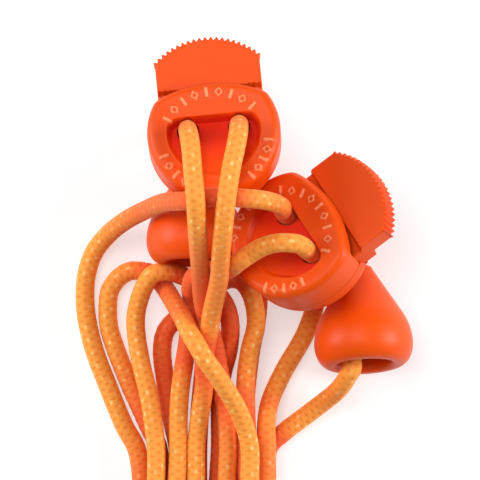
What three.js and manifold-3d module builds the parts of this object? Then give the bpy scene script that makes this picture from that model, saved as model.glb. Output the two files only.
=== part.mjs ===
// A pair of elastic no-tie laces: two spring cord locks, two bell-shaped cord ends and two round laces
// folded into one hank. Millimetres, +Z up, standing on the plane z = 0, with the origin under the middle
// of the box round the locks and the cord ends.
import * as THREE from "three";
import { mergeVertices } from "three/addons/utils/BufferGeometryUtils.js";
import Module from "manifold-3d";

const wasm = await Module();
wasm.setup();

// ---------------------------------------------------------------- driving dimensions
const GAP = 0.3; // air between pieces that touch
const LACE_D = 3.0; // round braided elastic lace
const LATHE_STEPS = 44; // facets round a turned shell

// Spring cord lock, in its own frame: back face on z = 0, front towards +z, button towards +y.
const BODY_R = 10.4;
const BACK_FLAT_R = 6.4; // flat middle of the domed back
const PARTING_Z = 4.75; // plane where the front cover meets the rear shell
const CREST_Z = 10.8; // highest ring of the front cover
const CREST_R = 9.2;
const MOUTH_R = 7.4; // D-shaped dish in the front cover
const MOUTH_TOP_Y = 2.6;
const BROW_Y = 7.9; // the cover ends in a flat arc above the thumb head
const BROW_R = 18;
const DISH_DEEP_Z = 7.8; // floor of the dish under the crescent
const DISH_SHALLOW_Z = 10.3; // floor of the dish at the lower rim
const HOLE_X = 4.0; // lace holes, left and right of the middle
const HOLE_Y = 0.8;
const HOLE_D = 3.8;
const TRAVEL = 4.0; // how far the button goes in

// Plunger and thumb head of the button, one moulding.
const STEM_HALF_W = 6.7;
const STEM_BOTTOM_Y = -2.4;
const STEM_Z = [2.75, 6.75];
const HEAD_HALF_W = 8.2;
const HEAD_BOTTOM_Y = 4.2;
const THUMB_BOTTOM_Y = 7.4; // from here outwards the head is at its full thickness
const THUMB_TOP_Z = 8.0;
const THUMB_BACK_Z = 4.4; // the part that stands out of the body is thinner at the back
const THUMB_BACK_Y = 8.6;
const HEAD_CORNER_Y = 12.3;
const HEAD_ARC_R = 11.75;
const TOOTH_COUNT = 16;
const TOOTH_DEPTH = 0.7;
const SLOT_W = 3.7; // lace slots through the plunger
const SLOT_Y = [-1.1, 6.5];

// Compression spring in its pocket below the plunger.
const SPRING_R = 1.6;
const SPRING_WIRE_R = 0.25;
const SPRING_TURNS = 5;
const SPRING_BOTTOM_Y = -8.6;
const POCKET_HALF_W = 2.15;
const POCKET_BOTTOM_Y = -8.9;
const CAVITY_CLEARANCE = 0.15;

// Bell-shaped cord end, tip at the origin of its own frame, mouth towards +z.
const BELL_L = 16.4;
const BELL_R = 7.8;
const BELL_TIP_R = 2.1;
const BELL_TIP_L = 0.9; // rounded nose
const BELL_FLANK_L = 8.0; // end of the straight flank
const BELL_SHOULDER_R = 3.6;
const MOUTH_LIP_R = 4.9;
const MOUTH_DEPTH = 3.4;
const BELL_ROOM_R = 3.9; // room behind the grip for the lace ends
const GRIP_T = 2.4;
const GRIP_HOLE_X = 2.0;
const GRIP_HOLE_D = 3.1;
const GRIP_TEETH = 8;

// Where the locks and the cord ends lie: place of the back centre or the tip, and turns in degrees.
const LOCKS = {
  a: { place: [-10.1, 9.05, 11.6], heading: 5.5, pitch: -14, roll: 0 },
  b: { place: [5.7, -7.55, 10.2], heading: -53, pitch: 9, roll: -28.5 },
};
const BELLS = {
  left: { place: [-13.2, 7.15, 6.1], heading: 0, climb: 8 },
  right: { place: [12.57, -9.43, 4.75], heading: 3, climb: 14 },
};

// Each seen stretch of the two laces, point by point along its middle line.
const ROUTES = {
  lace_a_front_left: [
    [-14.1, 9.1, 10], [-14.2, 10.4, 15.3], [-14.4, 11.7, 20.5], [-14.1, 10.5, 24.8], [-13.8, 8.4, 27],
    [-13.5, 5, 28.6], [-13.1, 1.1, 29.2], [-12.9, -2.7, 27.2], [-12.6, -7.5, 22], [-12.3, -11.6, 16.5],
    [-12.1, -14.9, 12.2], [-11.4, -18.1, 9.2], [-10.3, -22, 6.4], [-9.4, -26.8, 5.6], [-8.5, -32.3, 5],
    [-8.1, -38.3, 4.9], [-8.3, -43.4, 4.9],
  ],
  lace_a_front_right: [
    [-6.2, 9.9, 10], [-6.3, 11.2, 15.3], [-6.4, 12.5, 20.5], [-6.5, 11.1, 24.8], [-6.9, 8.9, 27],
    [-7.6, 5.6, 28.6], [-8.3, 1.1, 29.2], [-8.8, -3.5, 27.2], [-9.2, -7.5, 23.6], [-9.5, -11.6, 19.3],
    [-10.6, -16.7, 14.5], [-11.1, -19.8, 11.9], [-11.6, -22.3, 9.6], [-11.9, -25.3, 7.9],
    [-11.9, -28.3, 6.8], [-12.4, -32, 5.6], [-12.9, -35.5, 5], [-13.2, -38.3, 4.9], [-13.2, -43.4, 4.9],
  ],
  lace_a_arch: [
    [-19.5, -43.4, 4.9], [-19.5, -38.3, 4.9], [-19.8, -35.5, 4.9], [-20.6, -30.3, 4.9],
    [-21.9, -24.9, 4.2], [-22.7, -19.9, 3.4], [-22.7, -17.3, 3.4], [-22.2, -15, 3.9],
    [-21.3, -12.7, 4.9], [-20.1, -11, 5.8], [-18.7, -10.5, 5.9], [-17.5, -10.5, 5.6], [-15.7, -11, 4.7],
    [-14.2, -11.7, 4.2], [-12.6, -12.5, 4.2], [-11, -13.2, 4.9], [-9.4, -14.5, 4.9], [-8.3, -16.4, 4.9],
    [-7.8, -18.9, 4.7], [-8.1, -22.9, 3.4], [-9.1, -27, 2], [-9.4, -30.8, 1.6], [-9.4, -38.4, 1.6],
    [-9.7, -43.5, 1.6],
  ],
  lace_a_tail: [
    [-6.1, 9.6, 9], [-6.1, 9.3, 7], [-5.6, 7.8, 3.8], [-4.7, 5.3, 2], [-3.6, 0.9, 1.6],
    [-2.8, -3.9, 1.6], [-2.8, -8.7, 1.6], [-3.2, -13.4, 1.6], [-3.6, -18.2, 1.6], [-4.5, -22.9, 1.6],
    [-5.1, -27.7, 1.6], [-5.5, -32.4, 1.6], [-5.5, -38.4, 1.6], [-5.8, -43.5, 1.6],
  ],
  lace_b_front_left: [
    [5, -4.5, 7.2], [2.9, -2.9, 11.9], [0.7, -1.3, 16.6], [0.1, -0.2, 19.6], [-1.3, 0.4, 22],
    [-3.5, 0.8, 24.6], [-6.2, 1, 25.8], [-8.4, 1.1, 25.9], [-10.9, 1.1, 25.9], [-13.1, 0.9, 25.5],
    [-14.5, 0.6, 24.8], [-17.9, 0.4, 19], [-21.1, -0.8, 12], [-24.4, -2.5, 6.8], [-27.3, -4.8, 3.2],
    [-29.4, -7.5, 1.7], [-30.5, -10.7, 1.6], [-30.8, -13.4, 1.6], [-30.7, -16.6, 1.6],
    [-30, -20.5, 1.6], [-28.9, -24.2, 1.6], [-27.5, -27.8, 1.6], [-26, -31.6, 1.6], [-24.4, -35.3, 1.6],
    [-22.7, -38.4, 1.6], [-21.9, -43.5, 1.6],
  ],
  lace_b_front_right: [
    [8.8, -10.5, 11], [6.6, -8.9, 15.7], [4.5, -7.3, 20.4], [2.7, -6.1, 24.2], [0.9, -5.9, 24.5],
    [-0.8, -6, 23.4], [-2.8, -6.6, 22.6], [-4.7, -7.7, 21.6], [-6.2, -8.7, 21.3], [-8.2, -10.1, 17.7],
    [-11.3, -10.3, 13], [-13.2, -11, 11.2], [-14, -12.7, 8.4], [-13.9, -15, 5.1], [-14.2, -17.3, 4.9],
    [-14.3, -19.7, 4.9], [-14.6, -22.1, 4.9], [-15.1, -25.2, 4.9], [-15.7, -29.2, 4.9],
    [-16, -33.9, 4.9], [-16, -38.3, 4.9], [-16.2, -43.4, 4.9],
  ],
  lace_b_arch_left: [
    [-18.9, -43.5, 1.6], [-19.2, -38.4, 1.6], [-20.8, -34.8, 1.6], [-22.4, -31.3, 1.6],
    [-23.5, -28.9, 1.6], [-26.1, -22.3, 1.6], [-27, -19.3, 1.6], [-27.2, -15.9, 1.6],
    [-26.9, -13.6, 1.6], [-25.7, -11.7, 1.6], [-23.7, -10.4, 1.6], [-21.3, -10.5, 1.6],
    [-20, -10.9, 1.7], [-19, -11.9, 2], [-18.1, -13.1, 3.5], [-17.3, -14.3, 5.6], [-16.5, -15.6, 8],
    [-15.3, -17.6, 10.2], [-14.2, -19.9, 12.9], [-13, -21.9, 14], [-11.9, -23.8, 14],
    [-9.2, -27.7, 12.4], [-6.7, -31.9, 10], [-5.3, -35.4, 8.6], [-4.7, -38.2, 8.2], [-4.7, -43.3, 8.2],
  ],
  lace_b_arch_right: [
    [-15.8, -43.5, 1.6], [-16.1, -38.4, 1.6], [-17.2, -33.2, 1.6], [-18.1, -27.7, 1.6],
    [-18.6, -22.9, 1.6], [-18.1, -20.1, 1.6], [-16.7, -18.3, 1.6], [-14.5, -16.7, 1.6],
    [-12.1, -14.7, 1.6], [-10.1, -12.8, 1.6], [-8, -11.7, 2.2], [-5.9, -12.1, 4.2], [-4.4, -14.3, 5],
    [-3.7, -18.6, 4.9], [-4.7, -22.9, 4.9], [-5.3, -27.3, 4.9], [-5.3, -32.3, 4.9], [-5.1, -38.3, 4.9],
    [-5.1, -43.4, 4.9],
  ],
  lace_b_tail: [
    [9.2, -10.8, 10], [8.1, -11.9, 8], [6.7, -13.5, 5], [5.8, -15.3, 2.6], [5.2, -17.4, 1.7],
    [3.9, -20.7, 1.6], [0.6, -26.4, 1.6], [-1.5, -31.1, 2.4], [-2.1, -34.7, 4.2], [-2, -38.3, 4.9],
    [-2.1, -43.4, 4.9],
  ],
  lace_b_end: [
    [11, -16.8, 6.6], [11.2, -21.2, 7.7], [11.4, -25.8, 8.8], [10.9, -26.6, 8.3], [10.1, -28, 7],
    [8.9, -29.5, 4.9], [7, -31.1, 3], [3.9, -33.5, 1.8], [0.9, -35.8, 1.6], [-1.7, -38.4, 1.6],
    [-2, -43.5, 1.6],
  ],
  lace_a_end: [
    [-11.2, -0.3, 7.1], [-11.2, -4.7, 7.8], [-11.2, -9.5, 8.4], [-10.8, -10.2, 8.9],
    [-10.7, -11.8, 8.4], [-10.7, -13.7, 8.2], [-11, -15.9, 7.5], [-11.2, -18.1, 4.6], [-11.6, -20.5, 2],
    [-11.8, -22.9, 1.6], [-12.1, -26.9, 1.6], [-12.6, -32.4, 1.6], [-12.9, -38.4, 1.6],
    [-12.9, -43.5, 1.6],
  ],
  lace_a_short_tail: [
    [-14.1, 8.8, 9], [-14.3, 10.3, 6.8], [-14, 12.2, 3.4], [-13.1, 14.3, 1.9], [-11.6, 16.4, 1.6],
  ],
  lace_b_short_tail: [
    [5.4, -4.8, 6.3], [4.8, -5.3, 4.6], [4.8, -6.7, 2.3], [4.2, -8.3, 1.6], [3.1, -10.1, 1.6],
  ],
};
const LACE_STEP = 2 * LACE_D;

// The folded rest of both laces, in one hank held by a strap.
const HANK_X = -11.9;
const HANK_HALF_W = 10.7;
const HANK_Y = [-139.5, -43.8];
const HANK_LAYERS = { lace_b_hank: [1.3, 7.6], lace_a_hank: [7.9, 14.2] };
const STRAP_Y = [-95, -85];
const STRAP_T = 0.8;
const AGLET_R = 1.7;
const AGLET_L = 5.2;

// ---------------------------------------------------------------- materials
const plastic = new THREE.MeshStandardMaterial({ color: 0xf0551c, roughness: 0.38 });
const buttonPlastic = new THREE.MeshStandardMaterial({ color: 0xee4f1a, roughness: 0.42 });
const gripPlastic = new THREE.MeshStandardMaterial({ color: 0xd8401a, roughness: 0.5 });
const lace = new THREE.MeshStandardMaterial({ color: 0xf79a33, roughness: 0.8 });
const clearPlastic = new THREE.MeshStandardMaterial({ color: 0xf7b070, roughness: 0.2 });
const strapBlack = new THREE.MeshStandardMaterial({ color: 0x26262a, roughness: 0.85 });
const springSteel = new THREE.MeshStandardMaterial({ color: 0xb8bcc0, roughness: 0.3, metalness: 1 });

// ---------------------------------------------------------------- solids
const rad = THREE.MathUtils.degToRad;

function solid(geometry) {
  const bare = geometry.clone();
  bare.deleteAttribute("normal");
  bare.deleteAttribute("uv");
  const merged = mergeVertices(bare, 1e-5);
  return new wasm.Manifold(
    new wasm.Mesh({
      numProp: 3,
      vertProperties: new Float32Array(merged.attributes.position.array),
      triVerts: new Uint32Array(merged.index.array),
    }),
  );
}

function geometryOf(manifold) {
  const mesh = manifold.getMesh();
  const geometry = new THREE.BufferGeometry();
  geometry.setAttribute("position", new THREE.BufferAttribute(mesh.vertProperties, 3));
  geometry.setIndex(new THREE.BufferAttribute(mesh.triVerts, 1));
  return geometry;
}

// A profile of [radius, z] pairs spun round the z axis.
function turned(profile, segments) {
  const points = profile.map(([r, z]) => new THREE.Vector2(r, z));
  return new THREE.LatheGeometry(points, segments).rotateX(Math.PI / 2);
}

function block(x0, x1, y0, y1, z0, z1) {
  return new THREE.BoxGeometry(x1 - x0, y1 - y0, z1 - z0).translate(
    (x0 + x1) / 2,
    (y0 + y1) / 2,
    (z0 + z1) / 2,
  );
}

function rod(x, y, z0, z1, radius, segments = 20) {
  return new THREE.CylinderGeometry(radius, radius, z1 - z0, segments)
    .rotateX(Math.PI / 2)
    .translate(x, y, (z0 + z1) / 2);
}

function plate(shape, z0, z1, curveSegments = 12) {
  return new THREE.ExtrudeGeometry(shape, {
    depth: z1 - z0,
    bevelEnabled: false,
    curveSegments,
  }).translate(0, 0, z0);
}

// Points of a quarter ellipse from [x0, y0] to [x1, y1]; it leaves the first point along x.
function quarter(x0, y0, x1, y1, steps) {
  const points = [];
  for (let i = 1; i <= steps; i += 1) {
    const a = (i / steps) * (Math.PI / 2);
    points.push([x0 + (x1 - x0) * Math.sin(a), y1 + (y0 - y1) * Math.cos(a)]);
  }
  return points;
}

// ---------------------------------------------------------------- cord lock
// The room that the button and the spring take inside both shells.
function lockCavity() {
  const c = CAVITY_CLEARANCE;
  const floorZ = STEM_Z[0] - c;
  const stemTopZ = STEM_Z[1] + c;
  const outside = BODY_R + 2;
  const stem = block(
    -STEM_HALF_W - c,
    STEM_HALF_W + c,
    STEM_BOTTOM_Y - TRAVEL - 0.4,
    outside,
    floorZ,
    stemTopZ,
  );
  const wideHalf = HEAD_HALF_W + c;
  const wide = block(-wideHalf, wideHalf, HEAD_BOTTOM_Y - TRAVEL - c, outside, floorZ, stemTopZ);
  const thumb = block(-wideHalf, wideHalf, THUMB_BOTTOM_Y - TRAVEL - c, outside, floorZ, THUMB_TOP_Z + c);
  const pocket = block(-POCKET_HALF_W, POCKET_HALF_W, POCKET_BOTTOM_Y, 0, floorZ, stemTopZ);
  return solid(stem).add(solid(wide)).add(solid(thumb)).add(solid(pocket));
}

function laceHoles(z0, z1) {
  const left = rod(-HOLE_X, HOLE_Y, z0, z1, HOLE_D / 2);
  const right = rod(HOLE_X, HOLE_Y, z0, z1, HOLE_D / 2);
  return solid(left).add(solid(right));
}

function rearShell() {
  const shell = turned(
    [
      [0, 0],
      [BACK_FLAT_R, 0],
      ...quarter(BACK_FLAT_R, 0, BODY_R, 3.4, 6),
      [BODY_R, PARTING_Z - GAP / 2],
      [0, PARTING_Z - GAP / 2],
    ],
    LATHE_STEPS,
  );
  return solid(shell)
    .subtract(lockCavity())
    .subtract(laceHoles(-1, PARTING_Z + 1));
}

// The D-shaped dish: a prism of its mouth above a floor that climbs towards the lower rim.
function dish() {
  const corner = Math.asin(MOUTH_TOP_Y / MOUTH_R);
  const mouth = new THREE.Shape();
  mouth.absarc(0, 0, MOUTH_R, Math.PI - corner, 2 * Math.PI + corner, false);
  mouth.closePath();
  const climb = Math.atan2(DISH_SHALLOW_Z - DISH_DEEP_Z, MOUTH_TOP_Y + MOUTH_R);
  const above = block(-20, 20, -40, 20, 0, 20)
    .rotateX(-climb)
    .translate(0, MOUTH_TOP_Y, DISH_DEEP_Z);
  return solid(plate(mouth, 0, CREST_Z + 5, 22)).intersect(solid(above));
}

function frontCover() {
  const cover = turned(
    [
      [0, PARTING_Z + GAP / 2],
      [BODY_R, PARTING_Z + GAP / 2],
      [BODY_R, CREST_Z - 1.6],
      ...quarter(CREST_R, CREST_Z, BODY_R, CREST_Z - 1.6, 5).reverse().slice(1),
      [CREST_R, CREST_Z],
      [MOUTH_R, CREST_Z - 0.15],
      [0, CREST_Z - 0.15],
    ],
    LATHE_STEPS,
  );
  const below = new THREE.Shape();
  below.absarc(0, BROW_Y - BROW_R, BROW_R, 0, 2 * Math.PI, false);
  return solid(cover)
    .intersect(solid(plate(below, PARTING_Z, CREST_Z + 1, 64)))
    .subtract(lockCavity())
    .subtract(dish())
    .subtract(laceHoles(PARTING_Z - 1, CREST_Z + 1));
}

// Outline of the thumb head: straight sides and a row of teeth round the arc that the thumb presses.
function headOutline(bottomY) {
  const centreY = HEAD_CORNER_Y - Math.sqrt(HEAD_ARC_R ** 2 - HEAD_HALF_W ** 2);
  const half = Math.asin(HEAD_HALF_W / HEAD_ARC_R);
  const shape = new THREE.Shape();
  shape.moveTo(-HEAD_HALF_W, bottomY);
  shape.lineTo(HEAD_HALF_W, bottomY);
  shape.lineTo(HEAD_HALF_W, HEAD_CORNER_Y);
  const steps = 2 * TOOTH_COUNT;
  for (let i = 1; i < steps; i += 1) {
    const a = half - (2 * half * i) / steps;
    const r = HEAD_ARC_R + (i % 2 ? TOOTH_DEPTH / 2 : -TOOTH_DEPTH / 2);
    shape.lineTo(r * Math.sin(a), centreY + r * Math.cos(a));
  }
  shape.lineTo(-HEAD_HALF_W, HEAD_CORNER_Y);
  shape.closePath();
  return shape;
}

function button() {
  const stem = block(-STEM_HALF_W, STEM_HALF_W, STEM_BOTTOM_Y, HEAD_CORNER_Y, ...STEM_Z);
  const head = plate(headOutline(HEAD_BOTTOM_Y), ...STEM_Z);
  const thumb = plate(headOutline(THUMB_BOTTOM_Y), STEM_Z[0], THUMB_TOP_Z);
  let body = solid(stem).add(solid(head)).add(solid(thumb));
  for (const x of [-HOLE_X, HOLE_X]) {
    const slot = block(x - SLOT_W / 2, x + SLOT_W / 2, ...SLOT_Y, STEM_Z[0] - 1, THUMB_TOP_Z + 1);
    body = body.subtract(solid(slot));
  }
  const back = block(-BODY_R, BODY_R, THUMB_BACK_Y, 2 * BODY_R, 0, THUMB_BACK_Z);
  return body.subtract(solid(back));
}

// A coil of round wire along y, from its pocket's floor to the plunger.
class Coil extends THREE.Curve {
  getPoint(t, target = new THREE.Vector3()) {
    const a = 2 * Math.PI * SPRING_TURNS * t;
    const top = STEM_BOTTOM_Y - GAP - SPRING_WIRE_R;
    const bottom = SPRING_BOTTOM_Y + SPRING_WIRE_R;
    return target.set(
      SPRING_R * Math.cos(a),
      bottom + (top - bottom) * t,
      (STEM_Z[0] + STEM_Z[1]) / 2 + SPRING_R * Math.sin(a),
    );
  }
}

function ring(radius, sides) {
  const shape = new THREE.Shape();
  for (let i = 0; i < sides; i += 1) {
    const a = (2 * Math.PI * (i + 0.5)) / sides;
    const draw = i ? "lineTo" : "moveTo";
    shape[draw](radius * Math.cos(a), radius * Math.sin(a));
  }
  shape.closePath();
  return shape;
}

function tube(path, radius, sides, steps) {
  return new THREE.ExtrudeGeometry(ring(radius, sides), {
    steps,
    bevelEnabled: false,
    extrudePath: path,
  });
}

// ---------------------------------------------------------------- cord end
function bellProfile() {
  const widest = BELL_L - BELL_SHOULDER_R;
  const bulge = widest - BELL_FLANK_L;
  const slope = (BELL_R - BELL_TIP_R) / (BELL_FLANK_L - BELL_TIP_L + bulge / 2);
  const upper = [4, 3, 2, 1, 0].map((i) => {
    const toGo = (bulge * i) / 4;
    return [BELL_R - (slope * toGo ** 2) / (2 * bulge), widest - toGo];
  });
  return [
    [0, 0],
    ...quarter(0, 0, BELL_TIP_R, BELL_TIP_L, 3),
    ...upper.slice(0, -1),
    ...quarter(BELL_R - BELL_SHOULDER_R, BELL_L, BELL_R, BELL_L - BELL_SHOULDER_R, 5).reverse(),
    [BELL_R - BELL_SHOULDER_R, BELL_L],
    [0, BELL_L],
  ];
}

function bellShell() {
  const mouth = rod(0, 0, BELL_L - MOUTH_DEPTH - GRIP_T - GAP, BELL_L + 1, MOUTH_LIP_R, 32);
  const room = rod(0, 0, BELL_L - MOUTH_DEPTH - GRIP_T - 6, BELL_L - 1, BELL_ROOM_R, 24);
  return solid(turned(bellProfile(), 48))
    .subtract(solid(mouth))
    .subtract(solid(room));
}

// The disc that bites the lace ends: two holes, each with a ring of small teeth.
function grip() {
  const z0 = BELL_L - MOUTH_DEPTH - GRIP_T;
  let disc = solid(rod(0, 0, z0, z0 + GRIP_T, MOUTH_LIP_R - GAP, 32));
  for (const x of [-GRIP_HOLE_X, GRIP_HOLE_X]) {
    const hole = new THREE.Shape();
    for (let i = 0; i < 2 * GRIP_TEETH; i += 1) {
      const a = (Math.PI * i) / GRIP_TEETH;
      const r = GRIP_HOLE_D / 2 + (i % 2 ? 0.22 : 0.0) + 0.1;
      hole[i ? "lineTo" : "moveTo"](x + r * Math.cos(a), r * Math.sin(a));
    }
    hole.closePath();
    disc = disc.subtract(solid(plate(hole, z0 - 1, z0 + GRIP_T + 1)));
  }
  return disc;
}

// ---------------------------------------------------------------- the pair
const pair = new THREE.Group();

function piece(parent, name, shape, material) {
  const geometry = shape.isBufferGeometry ? shape : geometryOf(shape);
  const mesh = new THREE.Mesh(geometry, material);
  mesh.name = name;
  parent.add(mesh);
}

for (const [side, lie] of Object.entries(LOCKS)) {
  const lock = new THREE.Group();
  lock.position.set(...lie.place);
  lock.rotation.set(rad(lie.pitch), rad(lie.roll), rad(lie.heading), "ZXY");
  piece(lock, `lock_${side}_rear_shell`, rearShell(), plastic);
  piece(lock, `lock_${side}_front_cover`, frontCover(), plastic);
  piece(lock, `lock_${side}_button`, button(), buttonPlastic);
  piece(lock, `lock_${side}_spring`, tube(new Coil(), SPRING_WIRE_R, 6, 14 * SPRING_TURNS), springSteel);
  pair.add(lock);
}

for (const [side, lie] of Object.entries(BELLS)) {
  const bell = new THREE.Group();
  bell.position.set(...lie.place);
  bell.rotation.set(rad(90 - lie.climb), 0, rad(lie.heading), "ZXY");
  piece(bell, `cord_end_${side}_shell`, bellShell(), plastic);
  piece(bell, `cord_end_${side}_grip`, grip(), gripPlastic);
  pair.add(bell);
}

// ---------------------------------------------------------------- laces
function routeCurve(name) {
  const points = ROUTES[name].map((p) => new THREE.Vector3(...p));
  return new THREE.CatmullRomCurve3(points, false, "centripetal");
}

for (const name of Object.keys(ROUTES)) {
  const curve = routeCurve(name);
  const steps = Math.round(curve.getLength() / LACE_STEP);
  piece(pair, name, tube(curve, LACE_D / 2, 8, steps), lace);
}

// The plastic tip on the free end of each short tail.
function aglet(name) {
  const curve = routeCurve(name);
  const end = curve.getPoint(1);
  const ahead = curve.getTangent(1).setZ(0).normalize();
  const middle = end.clone().addScaledVector(ahead, GAP + AGLET_L / 2);
  const tip = new THREE.CylinderGeometry(AGLET_R, AGLET_R, AGLET_L, 12);
  const turn = new THREE.Quaternion().setFromUnitVectors(new THREE.Vector3(0, 1, 0), ahead);
  return tip.applyQuaternion(turn).translate(middle.x, middle.y, AGLET_R + 0.05);
}

piece(pair, "aglet_a", aglet("lace_a_short_tail"), clearPlastic);
piece(pair, "aglet_b", aglet("lace_b_short_tail"), clearPlastic);

function hankOutline() {
  const x0 = HANK_X - HANK_HALF_W;
  const x1 = HANK_X + HANK_HALF_W;
  const roundY = HANK_Y[0] + HANK_HALF_W;
  const outline = new THREE.Shape();
  outline.moveTo(x1, HANK_Y[1]);
  outline.lineTo(x0, HANK_Y[1]);
  outline.lineTo(x0, roundY);
  outline.absarc(HANK_X, roundY, HANK_HALF_W, Math.PI, 2 * Math.PI, false);
  outline.closePath();
  return outline;
}

for (const [name, [z0, z1]] of Object.entries(HANK_LAYERS)) {
  piece(pair, name, plate(hankOutline(), z0, z1, 12), lace);
}

// A strap in a closed loop round both layers.
function strap() {
  const bottom = HANK_LAYERS.lace_b_hank[0] - GAP;
  const top = HANK_LAYERS.lace_a_hank[1] + GAP;
  const half = HANK_HALF_W + GAP;
  const inner = block(HANK_X - half, HANK_X + half, STRAP_Y[0] - 1, STRAP_Y[1] + 1, bottom, top);
  const outer = block(
    HANK_X - half - STRAP_T,
    HANK_X + half + STRAP_T,
    ...STRAP_Y,
    bottom - STRAP_T,
    top + STRAP_T,
  );
  return solid(outer).subtract(solid(inner));
}

piece(pair, "hank_strap", strap(), strapBlack);

export default pair;
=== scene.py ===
# %% [markdown]
# # A pair of elastic no-tie laces
# Two spring cord locks, two bell-shaped cord ends and two round elastic laces, which are folded into one
# hank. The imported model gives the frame: every piece below is made in its place, in metres, and rides on
# one of its bodies.

import bpy
import numpy as np
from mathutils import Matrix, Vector


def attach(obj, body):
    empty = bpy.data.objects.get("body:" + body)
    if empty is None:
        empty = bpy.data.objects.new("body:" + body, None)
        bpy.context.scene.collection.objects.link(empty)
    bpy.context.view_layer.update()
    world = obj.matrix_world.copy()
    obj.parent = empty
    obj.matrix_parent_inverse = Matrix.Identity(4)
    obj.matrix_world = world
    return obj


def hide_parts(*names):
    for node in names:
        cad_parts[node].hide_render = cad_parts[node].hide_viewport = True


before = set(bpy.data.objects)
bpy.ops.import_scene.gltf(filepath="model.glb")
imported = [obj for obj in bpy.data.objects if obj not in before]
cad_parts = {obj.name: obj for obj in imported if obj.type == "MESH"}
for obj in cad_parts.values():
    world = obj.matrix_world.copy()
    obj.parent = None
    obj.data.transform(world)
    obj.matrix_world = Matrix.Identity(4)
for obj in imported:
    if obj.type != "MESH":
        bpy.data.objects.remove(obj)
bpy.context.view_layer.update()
MM = 0.001

# %% [markdown]
# The camera looks straight down on the locks from a metre above the floor. A long lens keeps the two
# locks, which lie at different heights, at nearly one scale. It is made first.

# %% Camera
camera = bpy.data.objects.new("camera", bpy.data.cameras.new("camera"))
camera.data.lens = 472.5
camera.data.clip_end = 20
camera.location = (-0.00625, -0.00548, 1.0)
bpy.context.scene.collection.objects.link(camera)
bpy.context.scene.camera = camera
print("camera", tuple(camera.location), "lens", camera.data.lens)


# %% [markdown]
# A smooth line through given points is a Catmull-Rom curve. Its centripetal form, whose parameter
# grows with the square root of the distance, never loops or overshoots between uneven points. Sampling it
# finely and reading it back at equal lengths gives evenly spaced stations.

# %% Smooth line through points
def smooth_line(points, spacing):
    """Stations at equal spacing along a centripetal Catmull-Rom curve.

    Between two points it is the cubic with slopes m, where m at a point is the slope before it, minus the
    slope across it, plus the slope after it, each over the parameter's steps sqrt(distance)."""
    p = np.asarray(points, float)
    p = np.vstack([2 * p[0] - p[1], p, 2 * p[-1] - p[-2]])
    step = np.sqrt(np.linalg.norm(np.diff(p, axis=0), axis=1))[:, None]
    slope = np.diff(p, axis=0) / step
    across = (p[2:] - p[:-2]) / (step[1:] + step[:-1])
    m = slope[:-1] - across + slope[1:]
    t = np.linspace(0, 1, 40, endpoint=False)[:, None, None]
    h = step[1:-1]
    a, b = p[1:-2], p[2:-1]
    line = (
        (2 * t**3 - 3 * t**2 + 1) * a
        + (t**3 - 2 * t**2 + t) * h * m[:-1]
        + (3 * t**2 - 2 * t**3) * b
        + (t**3 - t**2) * h * m[1:]
    )
    line = np.vstack([line.transpose(1, 0, 2).reshape(-1, 3), p[-2]])
    along = np.r_[0, np.cumsum(np.linalg.norm(np.diff(line, axis=0), axis=1))]
    stations = np.linspace(0, along[-1], int(round(along[-1] / spacing)) + 1)
    return np.stack([np.interp(stations, along, line[:, k]) for k in range(3)], axis=1)


# %% [markdown]
# The stretches of lace that show lie where the CAD model has them, so their points repeat its routes. Each
# lace is one length of cord, though, so the stretches are joined here in the order in which the cord runs:
# from its cord end, through folds in the hank, through one hole of its lock, round again and back through
# the other hole to its tipped end.

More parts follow.
